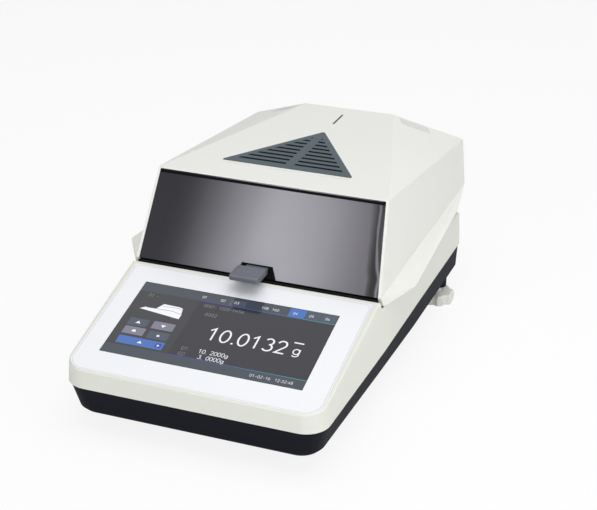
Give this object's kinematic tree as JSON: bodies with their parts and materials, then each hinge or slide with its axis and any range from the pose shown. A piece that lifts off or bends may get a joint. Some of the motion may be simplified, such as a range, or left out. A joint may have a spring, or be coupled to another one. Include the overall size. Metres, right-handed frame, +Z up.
{
  "type": "moisture analyzer",
  "caption": "Bench-top halogen moisture analyzer with a sloping touch screen, a faceted lid that tilts up on a motor-driven hinge, a weighing pan under a ring lamp, and levelling feet.",
  "frame": {"origin": "centre of the bounding box at table level, under the feet", "axes": "+X is the user's right, +Y points from the screen to the rear, +Z is up"},
  "size_m": [0.234, 0.38, 0.1482],
  "materials": {
    "dark_tray": "fine matt texture",
    "case_plastic": "satin",
    "overlay_film": "glossy film",
    "screen": "glossy touch glass",
    "module_metal": "plain",
    "board_green": "solder mask",
    "cell_aluminium": "milled",
    "plate_steel": "zinc plated",
    "chamber_steel": "brushed",
    "pin_steel": "turned",
    "gear_plastic": "moulded acetal",
    "seal_rubber": "matt",
    "rear_metal": "powder coat",
    "port_plastic": "moulded",
    "port_metal": "nickel plated",
    "foot_rubber": "matt",
    "insert_brass": "turned",
    "screw_steel": "zinc plated",
    "clear_glass": "clear",
    "lid_plastic": "satin",
    "smoked_glass": "smoked, glossy",
    "frame_plastic": "matt",
    "grille_plastic": "satin",
    "handle_plastic": "satin",
    "reflector_metal": "polished",
    "lamp_glass": "clear quartz",
    "holder_ceramic": "unglazed",
    "motor_metal": "plated can",
    "pinion_brass": "hobbed",
    "handler_metal": "pressed",
    "pan_aluminium": "pressed foil",
    "knob_plastic": "satin",
    "rocker_plastic": "satin"
  },
  "bodies": {
    "base": {"bottom_tray": "dark_tray", "upper_case": "case_plastic", "panel_overlay": "overlay_film", "screen_glass": "screen", "display_module": "module_metal", "display_board": "board_green", "main_board": "board_green", "power_board": "board_green", "load_cell": "cell_aluminium", "cell_plate": "plate_steel", "chamber_tub": "chamber_steel", "draft_shield": "chamber_steel", "hinge_bracket_right": "plate_steel", "hinge_bracket_left": "plate_steel", "hinge_pins": "pin_steel", "pin_clips": "pin_steel", "hinge_gear": "gear_plastic", "hinge_collar": "gear_plastic", "deck_seal": "seal_rubber", "rear_panel": "rear_metal", "power_inlet": "port_plastic", "switch_housing": "port_plastic", "data_port": "port_metal", "usb_port": "port_metal", "front_feet": "foot_rubber", "foot_inserts": "insert_brass", "case_screws": "screw_steel", "level_cup": "port_plastic", "level_glass": "clear_glass"},
    "lid": {"lid_shell": "lid_plastic", "lid_window": "smoked_glass", "window_frame": "frame_plastic", "vent_grille": "grille_plastic", "lid_handle": "handle_plastic", "heater_plate": "chamber_steel", "heater_screws": "screw_steel", "reflector": "reflector_metal", "halogen_lamp": "lamp_glass", "lamp_holders": "holder_ceramic", "heater_glass": "clear_glass", "glass_ring": "chamber_steel", "temperature_sensor": "pin_steel", "hinge_carrier_right": "plate_steel", "hinge_carrier_left": "plate_steel", "lid_motor": "motor_metal", "motor_bracket": "plate_steel", "lid_underplate": "frame_plastic"},
    "pinion": {"drive_pinion": "pinion_brass"},
    "pan": {"pan_support": "pin_steel", "pan_handler": "handler_metal", "sample_pan": "pan_aluminium"},
    "foot_right": {"foot_pad_right": "foot_rubber"},
    "foot_left": {"foot_pad_left": "foot_rubber"},
    "knob_right": {"foot_knob_right": "knob_plastic"},
    "knob_left": {"foot_knob_left": "knob_plastic"},
    "rocker": {"power_rocker": "rocker_plastic"}
  },
  "joints": [
    {"name": "lid_hinge", "type": "hinge", "parent": "base", "child": "lid", "pos_m": [0, 0.155, 0.092], "axis": [-1, 0, 0], "range_deg": [0, 78]},
    {"name": "pinion_spin", "type": "hinge", "parent": "lid", "child": "pinion", "pos_m": [0.057, 0.17201, 0.09819], "axis": [-1, 0, 0], "range_deg": [0, 156]},
    {"name": "pan_deflection", "type": "slide", "parent": "base", "child": "pan", "axis": [0, 0, 1], "range_m": [-0.0004, 0], "stiffness_N_per_m": 12000},
    {"name": "foot_right_travel", "type": "slide", "parent": "base", "child": "foot_right", "axis": [0, 0, 1], "range_m": [-0.004, 0.002]},
    {"name": "foot_left_travel", "type": "slide", "parent": "base", "child": "foot_left", "axis": [0, 0, 1], "range_m": [-0.004, 0.002]},
    {"name": "knob_right_turn", "type": "hinge", "parent": "foot_right", "child": "knob_right", "pos_m": [0.0994, 0.112, 0.006], "axis": [0, 0, 1], "range_deg": [-1440, 720]},
    {"name": "knob_left_turn", "type": "hinge", "parent": "foot_left", "child": "knob_left", "pos_m": [-0.0994, 0.112, 0.006], "axis": [0, 0, 1], "range_deg": [-1440, 720]},
    {"name": "power_switch", "type": "hinge", "parent": "base", "child": "rocker", "pos_m": [0.006, 0.1359, 0.0345], "axis": [0, 0, 1], "range_deg": [0, 20]}
  ],
  "couplings": [
    {"joint": "pinion_spin", "follows": "lid_hinge", "ratio": 2},
    {"joint": "knob_right_turn", "follows": "foot_right_travel", "rad_per_m": 6283.2},
    {"joint": "knob_left_turn", "follows": "foot_left_travel", "rad_per_m": 6283.2}
  ]
}
